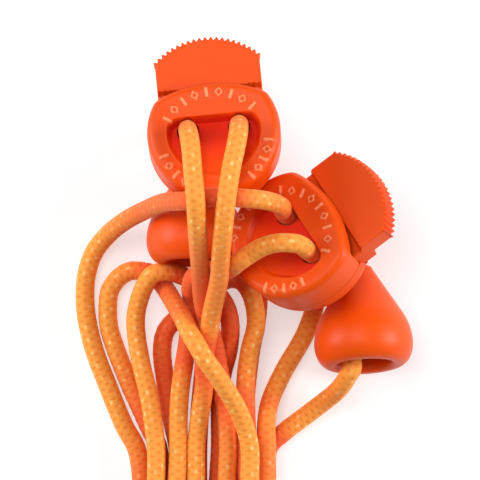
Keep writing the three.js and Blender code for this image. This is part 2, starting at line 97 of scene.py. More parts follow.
# %% Seen stretches of the laces, in millimetres
ROUTES = {
    "lace_a_front_left": [
        (-14.1, 9.1, 10), (-14.2, 10.4, 15.3), (-14.4, 11.7, 20.5), (-14.1, 10.5, 24.8), (-13.8, 8.4, 27),
        (-13.5, 5, 28.6), (-13.1, 1.1, 29.2), (-12.9, -2.7, 27.2), (-12.6, -7.5, 22), (-12.3, -11.6, 16.5),
        (-12.1, -14.9, 12.2), (-11.4, -18.1, 9.2), (-10.3, -22, 6.4), (-9.4, -26.8, 5.6), (-8.5, -32.3, 5),
        (-8.1, -38.3, 4.9), (-8.3, -43.4, 4.9),
    ],
    "lace_a_front_right": [
        (-6.2, 9.9, 10), (-6.3, 11.2, 15.3), (-6.4, 12.5, 20.5), (-6.5, 11.1, 24.8), (-6.9, 8.9, 27),
        (-7.6, 5.6, 28.6), (-8.3, 1.1, 29.2), (-8.8, -3.5, 27.2), (-9.2, -7.5, 23.6), (-9.5, -11.6, 19.3),
        (-10.6, -16.7, 14.5), (-11.1, -19.8, 11.9), (-11.6, -22.3, 9.6), (-11.9, -25.3, 7.9),
        (-11.9, -28.3, 6.8), (-12.4, -32, 5.6), (-12.9, -35.5, 5), (-13.2, -38.3, 4.9), (-13.2, -43.4, 4.9),
    ],
    "lace_a_arch": [
        (-19.5, -43.4, 4.9), (-19.5, -38.3, 4.9), (-19.8, -35.5, 4.9), (-20.6, -30.3, 4.9),
        (-21.9, -24.9, 4.2), (-22.7, -19.9, 3.4), (-22.7, -17.3, 3.4), (-22.2, -15, 3.9),
        (-21.3, -12.7, 4.9), (-20.1, -11, 5.8), (-18.7, -10.5, 5.9), (-17.5, -10.5, 5.6), (-15.7, -11, 4.7),
        (-14.2, -11.7, 4.2), (-12.6, -12.5, 4.2), (-11, -13.2, 4.9), (-9.4, -14.5, 4.9), (-8.3, -16.4, 4.9),
        (-7.8, -18.9, 4.7), (-8.1, -22.9, 3.4), (-9.1, -27, 2), (-9.4, -30.8, 1.6), (-9.4, -38.4, 1.6),
        (-9.7, -43.5, 1.6),
    ],
    "lace_a_tail": [
        (-6.1, 9.6, 9), (-6.1, 9.3, 7), (-5.6, 7.8, 3.8), (-4.7, 5.3, 2), (-3.6, 0.9, 1.6),
        (-2.8, -3.9, 1.6), (-2.8, -8.7, 1.6), (-3.2, -13.4, 1.6), (-3.6, -18.2, 1.6), (-4.5, -22.9, 1.6),
        (-5.1, -27.7, 1.6), (-5.5, -32.4, 1.6), (-5.5, -38.4, 1.6), (-5.8, -43.5, 1.6),
    ],
    "lace_b_front_left": [
        (5, -4.5, 7.2), (2.9, -2.9, 11.9), (0.7, -1.3, 16.6), (0.1, -0.2, 19.6), (-1.3, 0.4, 22),
        (-3.5, 0.8, 24.6), (-6.2, 1, 25.8), (-8.4, 1.1, 25.9), (-10.9, 1.1, 25.9), (-13.1, 0.9, 25.5),
        (-14.5, 0.6, 24.8), (-17.9, 0.4, 19), (-21.1, -0.8, 12), (-24.4, -2.5, 6.8), (-27.3, -4.8, 3.2),
        (-29.4, -7.5, 1.7), (-30.5, -10.7, 1.6), (-30.8, -13.4, 1.6), (-30.7, -16.6, 1.6),
        (-30, -20.5, 1.6), (-28.9, -24.2, 1.6), (-27.5, -27.8, 1.6), (-26, -31.6, 1.6), (-24.4, -35.3, 1.6),
        (-22.7, -38.4, 1.6), (-21.9, -43.5, 1.6),
    ],
    "lace_b_front_right": [
        (8.8, -10.5, 11), (6.6, -8.9, 15.7), (4.5, -7.3, 20.4), (2.7, -6.1, 24.2), (0.9, -5.9, 24.5),
        (-0.8, -6, 23.4), (-2.8, -6.6, 22.6), (-4.7, -7.7, 21.6), (-6.2, -8.7, 21.3), (-8.2, -10.1, 17.7),
        (-11.3, -10.3, 13), (-13.2, -11, 11.2), (-14, -12.7, 8.4), (-13.9, -15, 5.1), (-14.2, -17.3, 4.9),
        (-14.3, -19.7, 4.9), (-14.6, -22.1, 4.9), (-15.1, -25.2, 4.9), (-15.7, -29.2, 4.9),
        (-16, -33.9, 4.9), (-16, -38.3, 4.9), (-16.2, -43.4, 4.9),
    ],
    "lace_b_arch_left": [
        (-18.9, -43.5, 1.6), (-19.2, -38.4, 1.6), (-20.8, -34.8, 1.6), (-22.4, -31.3, 1.6),
        (-23.5, -28.9, 1.6), (-26.1, -22.3, 1.6), (-27, -19.3, 1.6), (-27.2, -15.9, 1.6),
        (-26.9, -13.6, 1.6), (-25.7, -11.7, 1.6), (-23.7, -10.4, 1.6), (-21.3, -10.5, 1.6),
        (-20, -10.9, 1.7), (-19, -11.9, 2), (-18.1, -13.1, 3.5), (-17.3, -14.3, 5.6), (-16.5, -15.6, 8),
        (-15.3, -17.6, 10.2), (-14.2, -19.9, 12.9), (-13, -21.9, 14), (-11.9, -23.8, 14),
        (-9.2, -27.7, 12.4), (-6.7, -31.9, 10), (-5.3, -35.4, 8.6), (-4.7, -38.2, 8.2), (-4.7, -43.3, 8.2),
    ],
    "lace_b_arch_right": [
        (-15.8, -43.5, 1.6), (-16.1, -38.4, 1.6), (-17.2, -33.2, 1.6), (-18.1, -27.7, 1.6),
        (-18.6, -22.9, 1.6), (-18.1, -20.1, 1.6), (-16.7, -18.3, 1.6), (-14.5, -16.7, 1.6),
        (-12.1, -14.7, 1.6), (-10.1, -12.8, 1.6), (-8, -11.7, 2.2), (-5.9, -12.1, 4.2), (-4.4, -14.3, 5),
        (-3.7, -18.6, 4.9), (-4.7, -22.9, 4.9), (-5.3, -27.3, 4.9), (-5.3, -32.3, 4.9), (-5.1, -38.3, 4.9),
        (-5.1, -43.4, 4.9),
    ],
    "lace_b_tail": [
        (9.2, -10.8, 10), (8.1, -11.9, 8), (6.7, -13.5, 5), (5.8, -15.3, 2.6), (5.2, -17.4, 1.7),
        (3.9, -20.7, 1.6), (0.6, -26.4, 1.6), (-1.5, -31.1, 2.4), (-2.1, -34.7, 4.2), (-2, -38.3, 4.9),
        (-2.1, -43.4, 4.9),
    ],
    "lace_b_end": [
        (11, -16.8, 6.6), (11.2, -21.2, 7.7), (11.4, -25.8, 8.8), (10.9, -26.6, 8.3), (10.1, -28, 7),
        (8.9, -29.5, 4.9), (7, -31.1, 3), (3.9, -33.5, 1.8), (0.9, -35.8, 1.6), (-1.7, -38.4, 1.6),
        (-2, -43.5, 1.6),
    ],
    "lace_a_end": [
        (-11.2, -0.3, 7.1), (-11.2, -4.7, 7.8), (-11.2, -9.5, 8.4), (-10.8, -10.2, 8.9),
        (-10.7, -11.8, 8.4), (-10.7, -13.7, 8.2), (-11, -15.9, 7.5), (-11.2, -18.1, 4.6), (-11.6, -20.5, 2),
        (-11.8, -22.9, 1.6), (-12.1, -26.9, 1.6), (-12.6, -32.4, 1.6), (-12.9, -38.4, 1.6),
        (-12.9, -43.5, 1.6),
    ],
    "lace_a_short_tail": [
        (-14.1, 8.8, 9), (-14.3, 10.3, 6.8), (-14, 12.2, 3.4), (-13.1, 14.3, 1.9), (-11.6, 16.4, 1.6),
    ],
    "lace_b_short_tail": [
        (5.4, -4.8, 6.3), (4.8, -5.3, 4.6), (4.8, -6.7, 2.3), (4.2, -8.3, 1.6), (3.1, -10.1, 1.6),
    ],
}
print(len(ROUTES), "seen stretches")

# %% [markdown]
# The rest of each lace is folded into a hank. Its runs lie in two lanes on each side, one layer on another,
# and turn back round a half circle at the far end. Lace B takes the two lower layers and lace A the two
# upper ones, so each fold is a turn width and a height of its own.

# %% Folds in the hank
HANK_X = -11.9
NARROW, WIDE = 5.9, 9.2
LAYERS = (2.8, 6.1, 9.4, 12.7)
NEAR_Y, SPREAD_Y, FAR_Y = -43.5, -72.0, -128.8
TURN_Y = -82.0
HALF_TURN = np.radians(np.arange(0, 181, 15))


def far_turn(width, height, from_left):
    """Half circle at the far end: x = middle - w cos a, y = far - w sin a, from one lane to the other."""
    side = 1 if from_left else -1
    x = HANK_X - side * width * np.cos(HALF_TURN)
    y = FAR_Y - width * np.sin(HALF_TURN)
    return np.stack([x, y, np.full(x.shape, height)], axis=1)


def lane_run(start, width, height, left):
    """From a seen stretch's end to its lane, eased over as 3t^2 - 2t^3, then straight to the far turn."""
    t = np.linspace(0, 1, 17)[1:, None]
    ease = 3 * t**2 - 2 * t**3
    lane = HANK_X + (-width if left else width)
    spread = np.hstack([
        start[0] + (lane - start[0]) * ease,
        start[1] + (SPREAD_Y - start[1]) * t,
        start[2] + (height - start[2]) * ease,
    ])
    y = np.linspace(SPREAD_Y, FAR_Y, 8)[1:-1]
    straight = np.stack([np.full(6, lane), y, np.full(6, height)], axis=1)
    return np.vstack([spread, straight])


def fold(start, end, width, height, from_left):
    """Out along one lane, round the far turn and back along the other lane."""
    out = lane_run(start, width, height, from_left)
    back = lane_run(end, width, height, not from_left)[::-1]
    return np.vstack([out, far_turn(width, height, from_left), back])


def twice_round(start, end, width, low, high, from_left):
    """A fold that goes round the hank once more, and climbs a layer as it turns at the near end."""
    out = lane_run(start, width, low, from_left)
    back = lane_run(end, width, high, not from_left)[::-1]
    side = -1 if from_left else 1
    near = np.stack([
        HANK_X - side * width * np.cos(HALF_TURN),
        TURN_Y + width * np.sin(HALF_TURN),
        low + (high - low) * HALF_TURN / np.pi,
    ], axis=1)
    y = np.linspace(FAR_Y, TURN_Y, 6)[1:-1]
    up = np.stack([np.full(4, near[0, 0]), y, np.full(4, low)], axis=1)
    down = np.stack([np.full(4, near[-1, 0]), y[::-1], np.full(4, high)], axis=1)
    return np.vstack([
        out, far_turn(width, low, from_left), up, near, down, far_turn(width, high, from_left), back,
    ])

# %% [markdown]
# Laces in a bundle push each other aside. Where they leave the seen part and spread into their lanes they
# start out passing through each other, so they are settled: each step pushes any two points that are
# closer than a diameter apart by a share of what is missing, and then eases each point towards the middle
# of its neighbours, so the lace stays a smooth bend.

# %% Join the stretches and settle the crossings
LACE_D = 3.0
SETTLE_STEPS, NEIGHBOURS = 160, 5
SETTLE_GAP, PUSH_SHARE, PUSH_ALONG_Y, SMOOTH_SHARE = 0.15, 0.35, 0.2, 0.12


def joined(*parts):
    """One list of points for a lace, with a mark on those that may be moved aside."""
    points = np.vstack([np.asarray(p, float) for p in parts])
    free = (points[:, 1] < NEAR_Y - 1) & (points[:, 1] > SPREAD_Y - 4)
    return points, free


def strand(name, backwards=False):
    """The points of a seen stretch, without those past the near end of the hank."""
    points = np.array(ROUTES[name])
    points = points[points[:, 1] > NEAR_Y - 0.2]
    return points[::-1] if backwards else points


def settle(laces):
    """Pushes the free points of all laces apart, in a fixed number of steps.

    Two points nearer than a diameter and the gap move apart by a share of what is missing, less along y,
    and then each goes part of the way to the middle of its neighbours, but never into the floor."""
    points = np.vstack([p for p, _ in laces])
    free = np.concatenate([f for _, f in laces])
    lace_no = np.concatenate([np.full(len(p), i) for i, (p, _) in enumerate(laces)])
    inner = np.zeros(len(points), bool)
    inner[1:-1] = free[1:-1] & (lace_no[:-2] == lace_no[2:])
    near = np.nonzero((points[:, 1] < NEAR_Y + 6) & (points[:, 1] > SPREAD_Y - 8))[0]
    apart = np.abs(near[:, None] - near[None, :]) > NEIGHBOURS
    for _ in range(SETTLE_STEPS):
        q = points[near]
        gap = q[:, None] - q[None, :]
        far = np.linalg.norm(gap, axis=2)
        short = np.where(apart & (far < LACE_D + SETTLE_GAP), LACE_D + SETTLE_GAP - far, 0.0)
        push = (gap / np.maximum(far, 1e-6)[..., None] * short[..., None]).sum(axis=1) * PUSH_SHARE
        push[:, 1] *= PUSH_ALONG_Y
        points[near] += np.where(inner[near][:, None], push, 0.0)
        middle = (points[:-2] + points[2:]) / 2
        points[1:-1] += np.where(inner[1:-1, None], SMOOTH_SHARE * (middle - points[1:-1]), 0.0)
        points[:, 2] = np.maximum(points[:, 2], LACE_D / 2 + 0.05)
    return [points[lace_no == i] for i in range(len(laces))]


A, B = "lace_a_", "lace_b_"
left_out, right_out = strand(A + "front_left"), strand(A + "front_right")
lace_a_parts = joined(
    strand(A + "end"),
    twice_round(strand(A + "end")[-1], strand(A + "tail")[-1], NARROW, LAYERS[2], LAYERS[3], True),
    strand(A + "tail", True),
    right_out,
    fold(right_out[-1], strand(A + "arch")[-1], WIDE, LAYERS[2], True),
    strand(A + "arch", True),
    fold(strand(A + "arch")[0], left_out[-1], WIDE, LAYERS[3], True),
    left_out[::-1],
    strand(A + "short_tail"),
)
left_out, right_out = strand(B + "front_left"), strand(B + "front_right")
arch_left, arch_right = strand(B + "arch_left"), strand(B + "arch_right")
lace_b_parts = joined(
    strand(B + "end"),
    fold(strand(B + "end")[-1], right_out[-1], NARROW, LAYERS[1], False),
    right_out[::-1],
    strand(B + "tail"),
    fold(strand(B + "tail")[-1], arch_left[0], WIDE, LAYERS[1], False),
    arch_left,
    fold(arch_left[-1], arch_right[0], NARROW, LAYERS[0], False),
    arch_right,
    fold(arch_right[-1], left_out[-1], WIDE, LAYERS[0], False),
    left_out[::-1],
    strand(B + "short_tail"),
)
lace_lines = dict(zip("ab", settle([lace_a_parts, lace_b_parts])))


# %% [markdown]
# A lace is a braided tube on that line. Its cross-section must not spin along the way, or the braid would
# look twisted. Any frame built from a fixed direction spins a little at each station; adding up that spin
# and turning the frame back by it leaves one that does not. The braid stands up from the tube as two
# families of ribs that wind opposite ways.

# %% Surfaces from grids of points
def ease(t):
    """0 below 0, 1 above 1, and 3t^2 - 2t^3 between."""
    t = np.clip(t, 0, 1)
    return t * t * (3 - 2 * t)


def grid_object(name, rows, uv=None, masks=None):
    """A closed surface from rows of points, each row a ring. Neighbouring rings are joined by four-sided
    faces, and the first and the last ring are closed by a fan to their middle. The volume is the sum of
    a . (b x c) over the faces, and where it comes out negative every face is turned to point outwards."""
    count, around = rows.shape[:2]
    ids = np.arange(count * around).reshape(count, around)
    turn = np.roll(ids, -1, axis=1)
    quads = np.stack([ids[:-1], turn[:-1], turn[1:], ids[1:]], axis=-1).reshape(-1, 4)
    points = rows.reshape(-1, 3)
    first, last = len(points), len(points) + 1
    points = np.vstack([points, rows[0].mean(axis=0), rows[-1].mean(axis=0)])
    fans = np.vstack([
        np.stack([turn[0], ids[0], np.full(around, first)], axis=-1),
        np.stack([ids[-1], turn[-1], np.full(around, last)], axis=-1),
    ])
    mesh = bpy.data.meshes.new(name)
    mesh.vertices.add(len(points))
    mesh.vertices.foreach_set("co", (points * MM).ravel())
    mesh.loops.add(quads.size + fans.size)
    mesh.loops.foreach_set("vertex_index", np.concatenate([quads.ravel(), fans.ravel()]))
    mesh.polygons.add(len(quads) + len(fans))
    starts = np.concatenate([np.arange(len(quads)) * 4, quads.size + np.arange(len(fans)) * 3])
    mesh.polygons.foreach_set("loop_start", starts)
    mesh.update(calc_edges=True)
    mesh.polygons.foreach_set("use_smooth", np.ones(len(mesh.polygons), bool))
    corners = (points - points.mean(axis=0))[quads]
    a, b, c, d = corners.transpose(1, 0, 2)
    inside_out = (a * (np.cross(b, c) + np.cross(c, d))).sum() < 0
    if uv is not None:
        corner_u = np.array([0, 1, 1, 0])
        corner_v = np.array([0, 0, 1, 1])
        j = np.tile(np.arange(around), count - 1)[:, None] + corner_u
        i = np.repeat(np.arange(count - 1), around)[:, None] + corner_v
        quad_uv = np.stack([j / around, uv[i]], axis=-1).reshape(-1, 2)
        fan_uv = np.tile([0.5, uv[0]], (fans.size, 1))
        layer = mesh.uv_layers.new(name="along")
        layer.data.foreach_set("uv", np.vstack([quad_uv, fan_uv]).ravel())
    for label, mask in (masks or {}).items():
        values = np.concatenate([mask.ravel(), [mask[0].mean(), mask[-1].mean()]])
        mesh.attributes.new(label, "FLOAT", "POINT").data.foreach_set("value", values)
    if inside_out:
        mesh.flip_normals()
    piece = bpy.data.objects.new(name, mesh)
    bpy.context.scene.collection.objects.link(piece)
    return piece


def steady_frame(line):
    """Tangents and two normals at each station that do not spin: n turned back by the sum of n' . b."""
    tangent = np.gradient(line, axis=0)
    tangent /= np.linalg.norm(tangent, axis=1)[:, None]
    turn = np.radians(np.arange(0, 180, 12))
    ways = np.stack([np.cos(turn), np.sin(turn) * 0.94, np.sin(turn) * 0.34], axis=1)
    way = ways[np.argmin(np.abs(tangent @ ways.T).max(axis=0))]
    n = way - tangent * (tangent @ way)[:, None]
    n /= np.linalg.norm(n, axis=1)[:, None]
    b = np.cross(tangent, n)
    spin = np.r_[0, np.cumsum(((n[1:] - n[:-1]) * (b[1:] + b[:-1]) / 2).sum(axis=1))]
    c, s = np.cos(spin)[:, None], np.sin(spin)[:, None]
    return tangent, c * n - s * b, s * n + c * b


# %% Braided laces
RIBS = 8
RIB_PITCH = 1.25
RIB_HEIGHT = 0.05
LACE_SIDES = 20
LACE_ROW = 0.34


def crowding(line, others):
    """Painted shade for each station, by how far down the loose bundle it lies: the sum, over stations of lace
    more than 1 mm higher, of e^(-distance across the floor squared / 2 (2.6 mm)^2), eased from 0 to 1, and 0
    in the neat hank."""
    total = np.zeros(len(line))
    for other in others:
        coarse = other[::4]
        near = line[::4]
        across = ((near[:, None, :2] - coarse[None, :, :2]) ** 2).sum(axis=2)
        higher = ease((coarse[None, :, 2] - near[:, None, 2] - 1.0) / 1.5)
        weight = (np.exp(-across / (2 * 2.6**2)) * higher).sum(axis=1)
        total += np.interp(np.arange(len(line)), np.arange(len(line))[::4], weight)
    return ease(total / 5.5) * ease((line[:, 1] - SPREAD_Y) / 22.0)


def braided_tube(name, line, painted_shade):
    """p = line + r(a, s) (n cos a + b sin a), with r = radius + rib height |sin(k a / 2 +- pi s / pitch)|."""
    _, n, b = steady_frame(line)
    angle = np.arange(LACE_SIDES) / LACE_SIDES * 2 * np.pi
    along = np.arange(len(line)) * np.linalg.norm(np.diff(line, axis=0), axis=1).mean()
    wind = RIBS * angle[None, :] / 2
    climb = np.pi * along[:, None] / RIB_PITCH
    relief = np.maximum(np.abs(np.sin(wind + climb)), np.abs(np.sin(wind - climb)))
    r = LACE_D / 2 - RIB_HEIGHT * (1 - relief)
    across = n[:, None] * np.cos(angle)[None, :, None] + b[:, None] * np.sin(angle)[None, :, None]
    painted_shade = np.repeat(painted_shade[:, None], LACE_SIDES, axis=1)
    return grid_object(name, line[:, None] + r[..., None] * across, uv=along * MM, masks={"painted_shade": painted_shade})


stations = {side: smooth_line(points, LACE_ROW) for side, points in lace_lines.items()}
laces = {}
for side in stations:
    # Lace lying under other lace in the loose bundle gets painted shade, a darker red.
    painted_shade = crowding(stations[side], stations.values())
    laces[side] = braided_tube(f"lace_{side}", stations[side], painted_shade)
    long = np.linalg.norm(np.diff(stations[side], axis=0), axis=1).sum()
    print(f"lace {side}: {long:.0f} mm, {len(laces[side].data.polygons)} faces")

# %% [markdown]
# Each lace ends in a short clear sleeve shrunk over its tip, which keeps the braid from opening.

# %% Tips of the laces
TIP_L, TIP_R, TIP_OVERLAP = 6.9, 1.7, 1.4


def tip(name, line):
    """A sleeve turned about its lace's end: its radius grows in a quarter round at both ends, with a waist."""
    way = line[-1] - line[-3]
    way[2] = 0
    way /= np.linalg.norm(way)
    start = line[-1] - way * TIP_OVERLAP
    t = np.linspace(0, 1, 41)
    end = np.minimum(t, 1 - t) * TIP_L / 0.8
    r = TIP_R * np.sqrt(np.clip(1 - (1 - np.clip(end, 0, 1)) ** 2, 0.002, 1)) - 0.12 * np.sin(np.pi * t)
    centre = start + way * (t * TIP_L)[:, None]
    centre[:, 2] = TIP_R + 0.05
    side = np.cross(way, [0, 0, 1])
    a = np.arange(28) / 28 * 2 * np.pi
    across = side * np.cos(a)[:, None] - np.array([0, 0, 1]) * np.sin(a)[:, None]
    return grid_object(name, centre[:, None] + r[:, None, None] * across[None])


tips = {side: tip(f"lace_tip_{side}", stations[side]) for side in "ab"}

# %% [markdown]
# A hook-and-loop strap holds the hank. It goes once round and its end lies on its start, so its path is a
# rounded rectangle that steps out by its own thickness where it overlaps.

# %% Strap round the hank
STRAP_W, STRAP_T, STRAP_Y = 10.0, 0.8, -90.0
STRAP_HALF_W, STRAP_HALF_H, STRAP_Z = 10.95, 7.05, 7.75


def strap_band():
    """Loop x, z = superellipse |x/a|^n + |z/b|^n = 1 with n = 5, grown by a thickness in the overlap."""
    turns = np.linspace(-0.03, 1.12, 260)
    a = 2 * np.pi * (turns + 0.18)
    lift = STRAP_T * np.clip((turns - 0.93) / 0.05, 0, 1) ** 2
    c, s = np.cos(a), np.sin(a)
    size = (np.abs(c) ** 5 + np.abs(s) ** 5) ** (-1 / 5)
    x = HANK_X + c * size * (STRAP_HALF_W + lift)
    z = STRAP_Z + s * size * (STRAP_HALF_H + lift)
    path = np.stack([x, z], axis=1)
    tangent = np.gradient(path, axis=0)
    tangent /= np.linalg.norm(tangent, axis=1)[:, None]
    normal = np.stack([tangent[:, 1], -tangent[:, 0]], axis=1)
    corner = np.radians(np.arange(0, 360, 12) + 6)
    u = np.sign(np.cos(corner)) * np.abs(np.cos(corner)) ** 0.22 * STRAP_W / 2
    v = np.sign(np.sin(corner)) * np.abs(np.sin(corner)) ** 0.5 * (STRAP_T / 2 - 0.05)
    rows = np.zeros((len(path), len(u), 3))
    rows[..., 0] = path[:, None, 0] + normal[:, None, 0] * v
    rows[..., 2] = path[:, None, 1] + normal[:, None, 1] * v
    rows[..., 1] = STRAP_Y + u
    return rows


strap = grid_object("hank_strap_band", strap_band())
print("strap", len(strap.data.polygons), "faces")

for side, piece in laces.items():
    seen = [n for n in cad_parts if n.startswith(f"lace_{side}_")]
    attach(piece, "root")
    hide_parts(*seen)
    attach(tips[side], "root")
    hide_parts(f"aglet_{side}")
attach(strap, "root")
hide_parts("hank_strap")

# %% [markdown]
# The cord lock is two moulded shells, one behind the other, with a sprung button between them. All three
# are made as height fields on rings: a ring of points round the outline is drawn in towards the middle
# row by row, and the height of each point comes from a formula of its x and y. The same rings then go
# down the side and back in underneath, so every shell is closed. Steps in the height are eased over a few
# tenths of a millimetre, which gives the soft edges of a moulding.

# %% Place of each lock and cord end, in millimetres and degrees
LOCKS = {
    "a": {"place": (-10.1, 9.05, 11.6), "heading": 5.5, "pitch": -14, "roll": 0},
    "b": {"place": (5.7, -7.55, 10.2), "heading": -53, "pitch": 9, "roll": -28.5},
}
BELLS = {
    "left": {"place": (-13.2, 7.15, 6.1), "heading": 0, "pitch": 90 - 8, "roll": 0},
    "right": {"place": (12.57, -9.43, 4.75), "heading": 3, "pitch": 90 - 14, "roll": 0},
}


def lying(points, place, heading, pitch, roll):
    """Turned about y by roll, about x by pitch and about z by heading, then moved to its place."""
    h, p, r = np.radians([heading, pitch, roll])
    about_z = [[np.cos(h), -np.sin(h), 0], [np.sin(h), np.cos(h), 0], [0, 0, 1]]
    about_x = [[1, 0, 0], [0, np.cos(p), -np.sin(p)], [0, np.sin(p), np.cos(p)]]
    about_y = [[np.cos(r), 0, np.sin(r)], [0, 1, 0], [-np.sin(r), 0, np.cos(r)]]
    turn = np.array(about_z) @ np.array(about_x) @ np.array(about_y)
    return points @ turn.T + np.array(place)


def larger(a, b, blend):
    """The larger of a and b, with the corner between them rounded: blend log(e^(a/blend) + e^(b/blend))."""
    return blend * np.logaddexp(a / blend, b / blend)


# %% The room for the button inside both shells
PARTING_Z, SEAM = 4.75, 0.06
ROOM_FLOOR, ROOM_ROOF, THUMB_ROOF = 2.55, 6.95, 8.2
LACE_HOLES = [(-4.0, 0.8), (4.0, 0.8)]
HOLE_R = 1.74


def inside(x, y, half_width, low_y):
    """1 in the strip |x| < half width above low y, eased to 0 over 0.3 mm at its edges."""
    return ease((half_width - np.abs(x)) / 0.3) * ease((y - low_y) / 0.3)


def room(x, y):
    """How far down the button's room reaches, from 0 to 1, and where it reaches far enough for the thumb."""
    stem = np.maximum(inside(x, y, 7.0, -6.9), inside(x, y, 2.3, -8.9))
    head = np.maximum(stem, inside(x, y, 8.5, -0.1))
    return head, inside(x, y, 8.5, 3.2)


# %% Front cover
BODY_R, CREST_Z, ROUNDING = 10.4, 10.8, (1.2, 1.6)
BROW_Y, BROW_R = 7.9, 18.0
DISH_R, DISH_TOP_Y = 7.4, 2.6
COLUMNS, TOP_ROWS, UNDER_ROWS = 288, 104, 56
MARK_HEIGHT = 0.16


def cover_outline():
    """Distance from the middle to the rim: the body's circle, or the brow's arc where that is nearer."""
    a = np.arange(COLUMNS) / COLUMNS * 2 * np.pi
    toward = np.sin(a) * (BROW_Y - BROW_R)
    brow = toward + np.sqrt(toward**2 + BROW_R**2 - (BROW_Y - BROW_R) ** 2)
    return a, -larger(-np.full(COLUMNS, BODY_R), -brow, 0.12)


def ornament(x, y):
    """Raised bars and lozenges by turns along two arcs: 1 on them, eased to 0 at their edges."""
    total = np.zeros_like(x)
    for middle_y, start, end, count in [(-2.2, 147, 41, 9), (-1.2, 196, 232, 4), (-1.2, 308, 352, 5)]:
        out = np.hypot(x, y - middle_y)
        angle = np.degrees(np.arctan2(y - middle_y, x)) % 360
        pitch = (end - start) / (count - 1)
        index = np.clip(np.round((angle - start) / pitch), 0, count - 1)
        aside = np.radians(angle - start - index * pitch) * out
        beyond = out - 8.35
        bar = ease((0.3 - np.abs(aside)) / 0.16) * ease((0.85 - np.abs(beyond)) / 0.16)
        ring = np.abs(np.abs(aside) / 0.72 + np.abs(beyond) / 0.85 - 0.72)
        lozenge = ease((0.28 - ring) / 0.16)
        total = np.maximum(total, np.where(index % 2 == 0, bar, lozenge))
    return total


def cover_top(x, y, from_rim):
    """Band just below the crest, and a D-shaped dish whose floor climbs away from the straight edge."""
    band = CREST_Z - 0.15 * ease((from_rim - ROUNDING[0]) / 1.8)
    edge = larger(np.hypot(x, y) - DISH_R, y - DISH_TOP_Y, 0.6)
    floor = 7.8 + 0.25 * (DISH_TOP_Y - y)
    drop = ease(-edge / 0.8) * np.maximum(band - floor, 0)
    # The second value is painted shade: a darker red laid into the dish where it drops below the band.
    return band - drop, ease(drop / 2.4)


def front_cover():
    """Rings over the top, round the crest's edge, down the side and back in under the room's roof."""
    angle, rim = cover_outline()
    inner = rim - ROUNDING[0]
    top_r = np.linspace(0.01, 1, TOP_ROWS)[:, None] * inner
    quarter = np.radians(np.linspace(0, 90, 13))[1:, None]
    round_r = inner + ROUNDING[0] * np.sin(quarter)
    r = np.vstack([top_r, round_r])
    x, y = r * np.cos(angle), r * np.sin(angle)
    z, painted_shade = cover_top(x, y, rim - r)
    z[len(top_r):] = CREST_Z - ROUNDING[1] * (1 - np.cos(quarter))
    mark = ornament(x, y)
    z += MARK_HEIGHT * mark
    under_r = np.linspace(1, 0.01, UNDER_ROWS)[:, None] * (rim - 0.02)
    ux, uy = under_r * np.cos(angle), under_r * np.sin(angle)
    head, thumb = room(ux, uy)
    uz = PARTING_Z + SEAM + (ROOM_ROOF - PARTING_Z) * head
    uz = np.maximum(uz, PARTING_Z + SEAM + (THUMB_ROOF - PARTING_Z) * thumb)
    side = np.linspace(0, 1, 9)[1:-1, None]
    sx = np.repeat(x[-1:], 7, axis=0)
    sy = np.repeat(y[-1:], 7, axis=0)
    sz = z[-1] + (uz[0] - z[-1]) * side
    rows = np.stack([np.vstack([x, sx, ux]), np.vstack([y, sy, uy]), np.vstack([z, sz, uz])], axis=-1)
    unseen = np.zeros((7 + UNDER_ROWS, COLUMNS))
    return rows, {"mark": np.vstack([mark, unseen]), "painted_shade": np.vstack([painted_shade, unseen])}


# %% Rear shell
BACK_FLAT_R, BACK_ROUND_H = 6.4, 3.4


def rear_shell():
    """Flat in the middle of the back, a quarter ellipse up to the side, and the button's room on top."""
    angle = np.arange(COLUMNS) / COLUMNS * 2 * np.pi
    flat = np.linspace(0.05, BACK_FLAT_R, 12)[:, None] * np.ones(COLUMNS)
    quarter = np.radians(np.linspace(0, 90, 19))[1:, None]
    dome = BACK_FLAT_R + (BODY_R - BACK_FLAT_R) * np.sin(quarter) * np.ones(COLUMNS)
    r = np.vstack([flat, dome])
    z = np.vstack([np.zeros((12, COLUMNS)), BACK_ROUND_H * (1 - np.cos(quarter)) * np.ones(COLUMNS)])
    top_r = np.linspace(1, 0.01, 60)[:, None] * (BODY_R - 0.02) * np.ones(COLUMNS)
    tx, ty = top_r * np.cos(angle), top_r * np.sin(angle)
    tz = PARTING_Z - SEAM - (PARTING_Z - SEAM - ROOM_FLOOR) * room(tx, ty)[0]
    z[12:] = np.minimum(z[12:], tz[0] - 0.05)
    side = np.linspace(0, 1, 7)[1:-1, None]
    sr = BODY_R * np.ones((5, COLUMNS))
    sz = z[-1] + (tz[0] - z[-1]) * side
    x = np.vstack([r * np.cos(angle), sr * np.cos(angle), tx])
    y = np.vstack([r * np.sin(angle), sr * np.sin(angle), ty])
    return np.stack([x, y, np.vstack([z, sz, tz])], axis=-1)


# %% Button
HEAD_HALF, HEAD_CORNER_Y, HEAD_ARC_R, STEM_HALF = 8.2, 12.3, 11.75, 6.7
TEETH, TOOTH_DEPTH = 20, 0.52
BUTTON_MIDDLE = np.array([0.0, 5.5])


def button_outline():
    """Stem, shoulders, straight sides and the toothed arc that the thumb pushes, anticlockwise."""
    half = np.arcsin(HEAD_HALF / HEAD_ARC_R)
    middle = HEAD_CORNER_Y - HEAD_ARC_R * np.cos(half)
    a = np.linspace(half, -half, TEETH * 8 + 1)
    wave = np.arccos(np.cos(np.linspace(0, 2 * np.pi * TEETH, len(a)) + np.pi)) / np.pi
    r = HEAD_ARC_R + TOOTH_DEPTH * (ease(wave) - 0.5)
    arc = np.stack([r * np.sin(a), middle + r * np.cos(a)], axis=1)
    left = [(-HEAD_HALF, 12.1), (-HEAD_HALF, 4.3), (-STEM_HALF, 4.2), (-STEM_HALF, -2.3)]
    corners = left + [(-x, y) for x, y in left[::-1]]
    walls = [np.linspace(p, q, 24, endpoint=False) for p, q in zip(corners[:-1], corners[1:])]
    return np.vstack([arc, *walls, [corners[-1]]])


